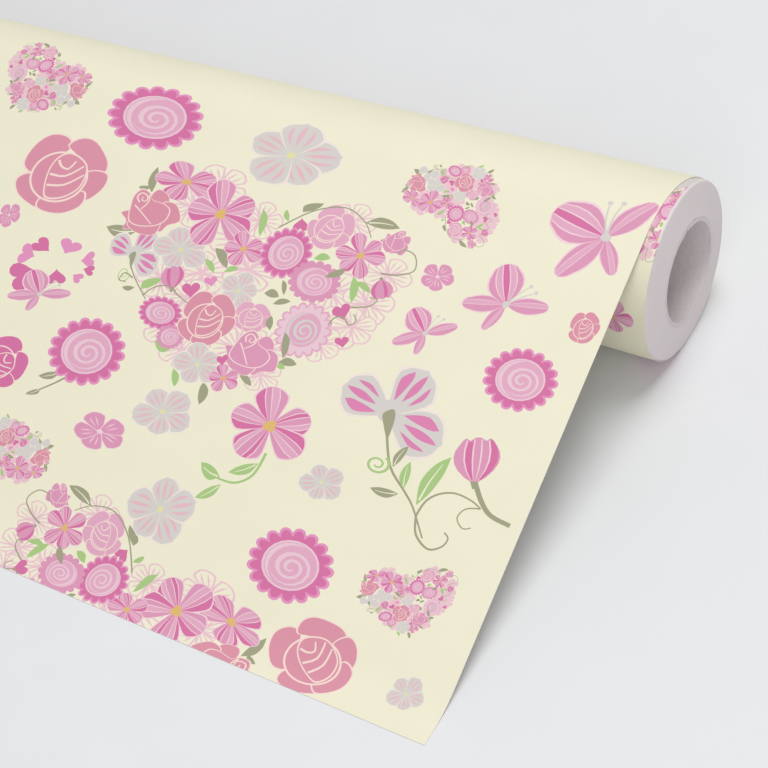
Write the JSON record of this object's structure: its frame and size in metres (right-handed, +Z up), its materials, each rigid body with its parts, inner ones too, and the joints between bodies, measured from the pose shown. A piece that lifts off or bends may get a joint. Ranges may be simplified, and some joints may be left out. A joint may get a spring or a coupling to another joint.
{
  "type": "wrapping paper roll",
  "caption": "Roll of printed gift wrapping paper on a cardboard core, lying on a table with the free end of the sheet drawn out over the top and down to the table.",
  "frame": {"origin": "middle of the footprint of the roll and its drawn-out sheet, on the table", "axes": "+X along the roll's axis, -Y towards the front edge of the drawn-out sheet, +Z up"},
  "size_m": [0.5062, 0.2052, 0.061],
  "materials": {
    "printed_paper": "smooth uncoated cream paper with a pink and green flower print on its outer face",
    "paper_edge": "cut edges of tightly wound paper, fine rings, matt",
    "core_board": "grey spiral-wound board, matt, with faint seams",
    "tape": "thin clear adhesive tape"
  },
  "bodies": {
    "loose_turn": {"outer_turn": "printed_paper"},
    "roll": {"core_inner_ply": "core_board", "core_middle_ply": "core_board", "core_outer_ply": "core_board", "start_tape": "tape", "wound_paper": "paper_edge"},
    "rear_panel": {"sheet_rear": "printed_paper"},
    "middle_panel": {"sheet_middle": "printed_paper"},
    "front_panel": {"sheet_front": "printed_paper"}
  },
  "joints": [
    {"name": "roll_turn", "type": "hinge", "parent": "loose_turn", "child": "roll", "pos_m": [0.0016, 0.0721, 0.0305], "axis": [1, 0, 0], "continuous": true},
    {"name": "sheet_lift", "type": "hinge", "parent": "loose_turn", "child": "rear_panel", "pos_m": [-0.0031, 0.03785, 0.04981], "axis": [-1, 0, 0], "range_deg": [0, 50]},
    {"name": "middle_bend", "type": "hinge", "parent": "rear_panel", "child": "middle_panel", "pos_m": [-0.0031, -0.0088, 0.03182], "axis": [-1, 0, 0], "range_deg": [0, 50]},
    {"name": "front_bend", "type": "hinge", "parent": "middle_panel", "child": "front_panel", "pos_m": [-0.0031, -0.05545, 0.01382], "axis": [-1, 0, 0], "range_deg": [0, 50]}
  ],
  "couplings": [
    {"joint": "middle_bend", "follows": "sheet_lift", "ratio": 1},
    {"joint": "front_bend", "follows": "sheet_lift", "ratio": 1}
  ]
}
